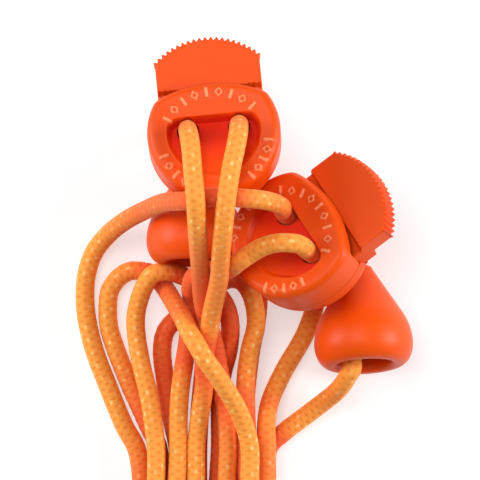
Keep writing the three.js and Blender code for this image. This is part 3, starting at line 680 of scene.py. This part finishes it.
def button():
    """Rings of the outline drawn in to the middle; the thumb is thicker in front and thinner at the back."""
    outline = button_outline() - BUTTON_MIDDLE
    quarter = np.radians(np.linspace(0, 90, 8))
    scale = np.concatenate([np.linspace(0.01, 0.96, 70), 0.96 + 0.04 * np.sin(quarter[1:])])
    drop = np.concatenate([np.zeros(70), 0.32 * (1 - np.cos(quarter[1:]))])
    xy = scale[:, None, None] * outline + BUTTON_MIDDLE
    x, y = xy[..., 0], xy[..., 1]
    front = 6.75 + 1.25 * ease((y - 7.35) / 0.3) - drop[:, None]
    back = 2.8 + 1.6 * ease((y - 8.55) / 0.3) + drop[:, None]
    side = np.linspace(0, 1, 8)[1:-1, None]
    sz = front[-1] + (back[-1] - front[-1]) * side
    sx, sy = np.repeat(x[-1:], 6, axis=0), np.repeat(y[-1:], 6, axis=0)
    return np.stack([
        np.vstack([x, sx, x[::-1]]),
        np.vstack([y, sy, y[::-1]]),
        np.vstack([front, sz, back[::-1]]),
    ], axis=-1)


# %% [markdown]
# Both lace holes go right through the shells, and the button has a longer slot for each lace, because it
# slides while the laces stay. They are cut out with a Boolean modifier, whose result becomes the mesh.
# Edges that the cut leaves sharp are marked so, and everything else stays smooth.

# %% Cutting the lace holes and slots
def upright(name, outline, low, high, lie):
    """A cutter: an outline carried from low z to high z, then laid as its lock lies."""
    z = np.array([low, high])[:, None, None]
    flat = np.repeat(outline[None], 2, axis=0)
    rows = np.concatenate([flat, np.broadcast_to(z, (2, len(outline), 1))], axis=2)
    return grid_object(name, lying(rows, **lie))


def cut(piece, cutters):
    """Takes the cutters away from the piece, and marks the edges sharper than 38 degrees."""
    for cutter in cutters:
        boolean = piece.modifiers.new("cut", "BOOLEAN")
        boolean.object = cutter
        boolean.solver = "EXACT"
    bpy.context.view_layer.update()
    seen = piece.evaluated_get(bpy.context.evaluated_depsgraph_get())
    mesh = bpy.data.meshes.new_from_object(seen)
    piece.modifiers.clear()
    piece.data = mesh
    mesh.set_sharp_from_angle(angle=np.radians(38))
    for cutter in cutters:
        bpy.data.objects.remove(cutter)
    print(piece.name, len(mesh.polygons), "faces after the cut")


ROUND = np.arange(48) / 48 * 2 * np.pi
SLOT_R, SLOT_LOW_Y, SLOT_HIGH_Y = 1.85, 0.75, 4.65
hole_outlines = [
    np.stack([x + HOLE_R * np.cos(ROUND), y + HOLE_R * np.sin(ROUND)], axis=1) for x, y in LACE_HOLES
]
slot_y = np.where(np.sin(ROUND) > 0, SLOT_HIGH_Y, SLOT_LOW_Y) + SLOT_R * np.sin(ROUND)
slot_outlines = [np.stack([x + SLOT_R * np.cos(ROUND), slot_y], axis=1) for x, _ in LACE_HOLES]

# %% Both locks
lock_pieces = {}
for side, lie in LOCKS.items():
    rows, masks = front_cover()
    cover = grid_object(f"lock_{side}_cover", lying(rows, **lie), masks=masks)
    back = grid_object(f"lock_{side}_back", lying(rear_shell(), **lie))
    thumb = grid_object(f"lock_{side}_thumb", lying(button(), **lie))
    for piece, outlines in [(cover, hole_outlines), (back, hole_outlines), (thumb, slot_outlines)]:
        cut(piece, [upright("cutter", o, -2, 14, lie) for o in outlines])
    for piece, node in [(cover, "front_cover"), (back, "rear_shell"), (thumb, "button")]:
        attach(piece, f"button_{side}" if node == "button" else "root")
        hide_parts(f"lock_{side}_{node}")
    lock_pieces[side] = (cover, back, thumb)

# %% [markdown]
# A cord end is a bell turned about its own axis: a rounded nose, a straight flank that swells into a
# shoulder, a rolled lip, and a mouth that steps in to a narrower room behind the toothed disc.

# %% Bell-shaped cord ends
BELL_L, BELL_R, SHOULDER, LIP_R = 16.4, 7.8, 3.6, 4.3
LIP_ROUND = 1.0


def arc_points(x0, y0, x1, y1, count):
    """Quarter ellipse from (x0, y0), leaving along x, to (x1, y1): x0 + dx sin a, y1 - dy cos a."""
    a = np.radians(np.linspace(0, 90, count))
    return np.stack([x0 + (x1 - x0) * np.sin(a), y1 + (y0 - y1) * np.cos(a)], axis=1)


def bell_profile():
    """Radius and height, from the nose out over the shoulder, round the lip and down into the room."""
    widest = BELL_L - SHOULDER
    flank = 8.0
    slope = (BELL_R - 2.1) / (flank - 0.9 + (widest - flank) / 2)
    nose = arc_points(0.02, 0, 2.1, 0.9, 12)
    h = np.linspace(0.9, flank, 24)[1:]
    straight = np.stack([2.1 + slope * (h - 0.9), h], axis=1)
    h = np.linspace(flank, widest, 20)[1:]
    swell = np.stack([BELL_R - slope * (widest - h) ** 2 / (2 * (widest - flank)), h], axis=1)
    brim = LIP_R + LIP_ROUND
    shoulder = arc_points(brim + 0.2, BELL_L, BELL_R, widest, 24)[::-1][1:]
    turn = np.radians(np.linspace(0, 90, 10))
    lip = np.stack([brim - LIP_ROUND * np.sin(turn), BELL_L - LIP_ROUND * (1 - np.cos(turn))], axis=1)
    wall = np.stack([np.full(6, LIP_R), np.linspace(BELL_L - LIP_ROUND - 0.2, 13.4, 6)], axis=1)
    under = np.stack([np.linspace(LIP_R + 0.05, 4.85, 4), np.full(4, 13.3)], axis=1)
    wall = np.vstack([wall, under, np.stack([np.full(8, 4.9), np.linspace(13.2, 10.4, 8)], axis=1)])
    step = np.stack([np.linspace(4.85, 3.95, 6), np.full(6, 10.3)], axis=1)
    hollow = np.stack([np.full(8, 3.9), np.linspace(10.2, 4.8, 8)], axis=1)
    end = np.stack([np.linspace(3.8, 0.03, 8), np.full(8, 4.7)], axis=1)
    return np.vstack([nose, straight, swell, shoulder, lip, wall, step, hollow, end])


def bell_rows():
    """The profile turned about z: x = r cos a, y = r sin a."""
    profile = bell_profile()
    a = np.arange(120) / 120 * 2 * np.pi
    r, z = profile[:, 0, None], profile[:, 1, None]
    return np.stack([r * np.cos(a), r * np.sin(a), z + 0 * a], axis=-1)


bell_pieces = {}
for side, lie in BELLS.items():
    bell = grid_object(f"cord_end_{side}_bell", lying(bell_rows(), **lie))
    bell.data.set_sharp_from_angle(angle=np.radians(50))
    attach(bell, "root")
    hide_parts(f"cord_end_{side}_shell")
    bell_pieces[side] = bell

# %% [markdown]
# Materials. A moulded part has a very fine grain, and its colour drifts slightly with the flow of the
# plastic; that pair is one node group which every plastic here uses with its own values.

# %% Node helpers
def new_group(name, inputs, outputs):
    """A shader node group with the named sockets, and its input and output nodes."""
    tree = bpy.data.node_groups.new(name, "ShaderNodeTree")
    for label, kind, default in inputs:
        socket = tree.interface.new_socket(label, in_out="INPUT", socket_type=kind)
        if default is not None:
            socket.default_value = default
    for label, kind in outputs:
        tree.interface.new_socket(label, in_out="OUTPUT", socket_type=kind)
    return tree, tree.nodes.new("NodeGroupInput"), tree.nodes.new("NodeGroupOutput")


def maths(tree, operation, *values, clamp=False):
    """A Math node: a value that is a socket is linked, and a number is set."""
    node = tree.nodes.new("ShaderNodeMath")
    node.operation = operation
    node.use_clamp = clamp
    for socket, value in zip(node.inputs, values):
        if isinstance(value, (int, float)):
            socket.default_value = value
        else:
            tree.links.new(value, socket)
    return node.outputs[0]


def mixed(tree, factor, a, b):
    """A colour between a and b."""
    node = tree.nodes.new("ShaderNodeMix")
    node.data_type = "RGBA"
    for socket, value in ((node.inputs[0], factor), (node.inputs[6], a), (node.inputs[7], b)):
        if isinstance(value, (int, float, tuple)):
            socket.default_value = value
        else:
            tree.links.new(value, socket)
    return node.outputs[2]


def noise(tree, vector, scale, detail=2.0):
    """Fractal noise, from 0 to 1, at a vector times the scale."""
    node = tree.nodes.new("ShaderNodeTexNoise")
    node.inputs["Scale"].default_value = scale
    node.inputs["Detail"].default_value = detail
    tree.links.new(vector, node.inputs["Vector"])
    return node.outputs[0]


def blank_material(name):
    """A new material with its node tree and its shader."""
    material = bpy.data.materials.new(name)
    material.use_nodes = True
    return material, material.node_tree, material.node_tree.nodes["Principled BSDF"]


# %% Moulded grain, shared by every plastic
grain, grain_in, grain_out = new_group(
    "moulded_grain",
    [("Color", "NodeSocketColor", (0.8, 0.1, 0.02, 1)),
     ("Flow Color", "NodeSocketColor", (0.8, 0.1, 0.02, 1)),
     ("Grain Size", "NodeSocketFloat", 4000.0), ("Grain Height", "NodeSocketFloat", 0.3),
     ("Roughness", "NodeSocketFloat", 0.35)],
    [("Color", "NodeSocketColor"), ("Roughness", "NodeSocketFloat"), ("Normal", "NodeSocketVector")],
)
coord = grain.nodes.new("ShaderNodeTexCoord").outputs["Object"]
flow = noise(grain, coord, 120.0, 3.0)
fine = grain.nodes.new("ShaderNodeTexNoise")
fine.inputs["Detail"].default_value = 1.0
grain.links.new(coord, fine.inputs["Vector"])
grain.links.new(grain_in.outputs["Grain Size"], fine.inputs["Scale"])
grain.links.new(
    mixed(grain, maths(grain, "MULTIPLY_ADD", flow, 1.6, -0.3, clamp=True),
          grain_in.outputs["Color"], grain_in.outputs["Flow Color"]),
    grain_out.inputs["Color"],
)
rough = maths(grain, "MULTIPLY_ADD", fine.outputs[0], 0.12, -0.06)
grain.links.new(maths(grain, "ADD", rough, grain_in.outputs["Roughness"]), grain_out.inputs["Roughness"])
bump = grain.nodes.new("ShaderNodeBump")
bump.inputs["Distance"].default_value = 0.00003
grain.links.new(grain_in.outputs["Grain Height"], bump.inputs["Strength"])
grain.links.new(fine.outputs[0], bump.inputs["Height"])
grain.links.new(bump.outputs[0], grain_out.inputs["Normal"])


def plastic(name, colour, flow_colour, roughness, grain_height=0.3, coat=0.0, masked=()):
    """Principled plastic over the grain group. Each (mask, colour) pair tints where the mesh's mask is 1."""
    material, tree, shader = blank_material(name)
    group = tree.nodes.new("ShaderNodeGroup")
    group.node_tree = grain
    group.inputs["Color"].default_value = (*colour, 1)
    group.inputs["Flow Color"].default_value = (*flow_colour, 1)
    group.inputs["Roughness"].default_value = roughness
    group.inputs["Grain Height"].default_value = grain_height
    shader.inputs["Coat Weight"].default_value = coat
    shader.inputs["Coat Roughness"].default_value = 0.2
    shader.inputs["Specular IOR Level"].default_value = 0.22
    colour_out = group.outputs["Color"]
    for mask, tint in masked:
        where = tree.nodes.new("ShaderNodeAttribute")
        where.attribute_name = mask
        colour_out = mixed(tree, where.outputs["Fac"], colour_out, (*tint, 1))
    tree.links.new(colour_out, shader.inputs["Base Color"])
    tree.links.new(group.outputs["Roughness"], shader.inputs["Roughness"])
    tree.links.new(group.outputs["Normal"], shader.inputs["Normal"])
    return material


ORANGE, DEEP_ORANGE = (0.8, 0.08, 0.001), (0.77, 0.066, 0.001)
# Of the next two colours, the dish's red is painted shade for the shadow inside the dish; the marks' orange is
# the ornament's own paler colour.
MARK_ORANGE, DISH_PAINTED_SHADE = (0.93, 0.3, 0.12), (0.8, 0.03, 0.008)
shell_plastic = plastic(
    "orange_shell", ORANGE, DEEP_ORANGE, 0.42, masked=[("painted_shade", DISH_PAINTED_SHADE), ("mark", MARK_ORANGE)]
)
thumb_plastic = plastic("orange_thumb", ORANGE, DEEP_ORANGE, 0.45)
bell_plastic = plastic("orange_bell", (0.81, 0.09, 0.001), DEEP_ORANGE, 0.4)
grip_plastic = plastic("orange_grip", (0.6, 0.045, 0.006), (0.55, 0.04, 0.006), 0.5)
tip_plastic = plastic("clear_tip", (0.9, 0.36, 0.09), (0.86, 0.3, 0.07), 0.15, 0.05, coat=0.6)

# %% [markdown]
# The lace is a braid of stretchy orange yarns over a rubber core. Its pattern follows the cord, so it
# reads the lace's own map: across is the way round, from 0 to 1, and up is the length in metres. Two
# families of yarns wind round against each other, and pale yarns come to the surface as short flecks.

# %% Braid, shared by both laces
braid, braid_in, braid_out = new_group(
    "braid",
    [("Yarns", "NodeSocketFloat", 8.0), ("Pitch", "NodeSocketFloat", 0.00125),
     ("Fleck Spacing", "NodeSocketFloat", 0.0021)],
    [("Height", "NodeSocketFloat"), ("Fleck", "NodeSocketFloat"), ("Tone", "NodeSocketFloat")],
)
uv = braid.nodes.new("ShaderNodeUVMap")
uv.uv_map = "along"
split = braid.nodes.new("ShaderNodeSeparateXYZ")
braid.links.new(uv.outputs[0], split.inputs[0])
round_part = maths(braid, "MULTIPLY", split.outputs[0], braid_in.outputs["Yarns"])
along_part = maths(braid, "DIVIDE", split.outputs[1], braid_in.outputs["Pitch"])
half = maths(braid, "MULTIPLY", round_part, 0.5)


def ridge(sign):
    """|sin(pi (yarns u / 2 +- v / pitch))|: one family of yarns."""
    joint = maths(braid, "MULTIPLY_ADD", along_part, sign, half)
    return maths(braid, "ABSOLUTE", maths(braid, "SINE", maths(braid, "MULTIPLY", joint, float(np.pi))))


height = maths(braid, "MAXIMUM", ridge(1.0), ridge(-1.0))
fibre_vector = braid.nodes.new("ShaderNodeCombineXYZ")
braid.links.new(maths(braid, "MULTIPLY", split.outputs[0], 60.0), fibre_vector.inputs[0])
braid.links.new(maths(braid, "MULTIPLY", split.outputs[1], 3500.0), fibre_vector.inputs[1])
fibre = noise(braid, fibre_vector.outputs[0], 1.0, 2.0)
braid.links.new(maths(braid, "MULTIPLY_ADD", fibre, 0.35, height), braid_out.inputs["Height"])

column = maths(braid, "FLOOR", round_part)
shift = maths(braid, "MULTIPLY", maths(braid, "MODULO", column, 2.0), 0.5)
steps_along = maths(braid, "DIVIDE", split.outputs[1], braid_in.outputs["Fleck Spacing"])
place = maths(braid, "ADD", steps_along, shift)
from_middle = maths(braid, "ABSOLUTE", maths(braid, "SUBTRACT", maths(braid, "FRACT", place), 0.5))
from_column = maths(braid, "ABSOLUTE", maths(braid, "SUBTRACT", maths(braid, "FRACT", round_part), 0.5))
long_way = maths(braid, "MULTIPLY_ADD", from_middle, -9.0, 1.7, clamp=True)
wide_way = maths(braid, "MULTIPLY_ADD", from_column, -7.0, 1.9, clamp=True)
cell_vector = braid.nodes.new("ShaderNodeCombineXYZ")
braid.links.new(column, cell_vector.inputs[0])
braid.links.new(maths(braid, "FLOOR", place), cell_vector.inputs[1])
white = braid.nodes.new("ShaderNodeTexWhiteNoise")
braid.links.new(cell_vector.outputs[0], white.inputs["Vector"])
present = maths(braid, "MULTIPLY_ADD", white.outputs["Value"], 1.6, -0.6, clamp=True)
fleck = maths(braid, "MULTIPLY", maths(braid, "MULTIPLY", long_way, wide_way), present)
braid.links.new(fleck, braid_out.inputs["Fleck"])
tone_vector = braid.nodes.new("ShaderNodeCombineXYZ")
braid.links.new(maths(braid, "MULTIPLY", split.outputs[1], 420.0), tone_vector.inputs[1])
braid.links.new(maths(braid, "MULTIPLY", split.outputs[0], 5.0), tone_vector.inputs[0])
braid.links.new(noise(braid, tone_vector.outputs[0], 1.0, 3.0), braid_out.inputs["Tone"])

# %% Lace material
YARN, YARN_DEEP = (0.93, 0.36, 0.045), (0.92, 0.29, 0.03)
# The last colour on the next line is painted shade: a darker red for lace lying under others in the loose
# bundle.
GAP_COLOUR, FLECK, BUNDLE_PAINTED_SHADE = (0.87, 0.24, 0.02), (0.98, 0.6, 0.2), (0.76, 0.045, 0.006)


def lace_material(name):
    """Yarn colour by tone, gaps where the braid is low, then flecks, and red painted shade low in the loose
    bundle.
    """
    material, tree, shader = blank_material(name)
    group = tree.nodes.new("ShaderNodeGroup")
    group.node_tree = braid
    body = mixed(tree, group.outputs["Tone"], (*YARN_DEEP, 1), (*YARN, 1))
    open_part = maths(tree, "MULTIPLY_ADD", group.outputs["Height"], -2.0, 2.1, clamp=True)
    body = mixed(tree, open_part, body, (*GAP_COLOUR, 1))
    body = mixed(tree, group.outputs["Fleck"], body, (*FLECK, 1))
    # Painted shade: lace lying under others in the loose bundle turns a darker red.
    painted_shade = tree.nodes.new("ShaderNodeAttribute")
    painted_shade.attribute_name = "painted_shade"
    body = mixed(tree, maths(tree, "MULTIPLY", painted_shade.outputs["Fac"], 0.8), body, (*BUNDLE_PAINTED_SHADE, 1))
    tree.links.new(body, shader.inputs["Base Color"])
    shader.inputs["Roughness"].default_value = 0.75
    shader.inputs["Sheen Weight"].default_value = 0.35
    shader.inputs["Sheen Roughness"].default_value = 0.4
    shader.inputs["Sheen Tint"].default_value = (1.0, 0.6, 0.25, 1)
    raised = tree.nodes.new("ShaderNodeBump")
    raised.inputs["Strength"].default_value = 0.7
    raised.inputs["Distance"].default_value = 0.00012
    tree.links.new(group.outputs["Height"], raised.inputs["Height"])
    tree.links.new(raised.outputs[0], shader.inputs["Normal"])
    return material


# %% Strap and spring
def strap_material():
    """Black loop fabric: a fine fuzz of noise over a plain weave."""
    material, tree, shader = blank_material("loop_fabric")
    where = tree.nodes.new("ShaderNodeTexCoord").outputs["Object"]
    fuzz = noise(tree, where, 2600.0, 4.0)
    black = mixed(tree, fuzz, (0.008, 0.008, 0.01, 1), (0.05, 0.05, 0.055, 1))
    tree.links.new(black, shader.inputs["Base Color"])
    shader.inputs["Roughness"].default_value = 0.9
    shader.inputs["Sheen Weight"].default_value = 0.5
    raised = tree.nodes.new("ShaderNodeBump")
    raised.inputs["Distance"].default_value = 0.0002
    tree.links.new(fuzz, raised.inputs["Height"])
    tree.links.new(raised.outputs[0], shader.inputs["Normal"])
    return material


def wire_material():
    """Bright drawn steel: roughness varies in streaks along the wire."""
    material, tree, shader = blank_material("spring_wire")
    where = tree.nodes.new("ShaderNodeTexCoord").outputs["Object"]
    streak = noise(tree, where, 5000.0, 3.0)
    shader.inputs["Base Color"].default_value = (0.55, 0.56, 0.58, 1)
    shader.inputs["Metallic"].default_value = 1.0
    tree.links.new(maths(tree, "MULTIPLY_ADD", streak, 0.25, 0.15), shader.inputs["Roughness"])
    return material


# %% Give every piece its material
def dress(piece, material):
    """Gives the piece one material."""
    piece.data.materials.clear()
    piece.data.materials.append(material)


for side in "ab":
    cover, back, thumb = lock_pieces[side]
    dress(cover, shell_plastic)
    dress(back, thumb_plastic)
    dress(thumb, thumb_plastic)
    dress(laces[side], lace_material(f"braided_lace_{side}"))
    dress(tips[side], tip_plastic)
for bell in bell_pieces.values():
    dress(bell, bell_plastic)
dress(strap, strap_material())
wire = wire_material()
for name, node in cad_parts.items():
    if name.endswith("_spring"):
        node.material_slots[0].material = wire
    elif name.endswith("_grip"):
        node.material_slots[0].material = grip_plastic

# %% [markdown]
# The floor is plain and pale. Two wide soft lights stand low at the left and the right, so the rims of
# the plastic glow and its faces stay deeper in colour, and a large light overhead opens the shadows.

# %% Floor and lights
bpy.ops.mesh.primitive_plane_add(size=3, location=(0, -0.05, 0))
floor = bpy.context.object
floor.name = "floor"
floor_material, _, floor_shader = blank_material("pale_floor")
floor_shader.inputs["Base Color"].default_value = (0.55, 0.56, 0.57, 1)
floor_shader.inputs["Roughness"].default_value = 0.9
floor_shader.inputs["Emission Color"].default_value = (1, 1, 1, 1)
floor_shader.inputs["Emission Strength"].default_value = 0.5
floor.data.materials.append(floor_material)


def soft_light(name, place, size, power):
    """A square area light that faces the object."""
    data = bpy.data.lights.new(name, "AREA")
    data.size = size
    data.energy = power
    light = bpy.data.objects.new(name, data)
    light.location = place
    light.rotation_euler = (Vector((0, -0.01, 0)) - Vector(place)).to_track_quat("-Z", "Y").to_euler()
    bpy.context.scene.collection.objects.link(light)


soft_light("left", (-0.55, 0.1, 0.24), 0.3, 2.5)
soft_light("right", (0.55, 0.06, 0.26), 0.3, 3.5)
soft_light("overhead", (-0.2, 0.22, 0.88), 0.5, 3.9)

world = bpy.data.worlds.new("studio")
bpy.context.scene.world = world
world.use_nodes = True
world.node_tree.nodes["Background"].inputs["Color"].default_value = (1, 1, 1, 1)
world.node_tree.nodes["Background"].inputs["Strength"].default_value = 0.18
bpy.context.scene.view_settings.view_transform = "Standard"
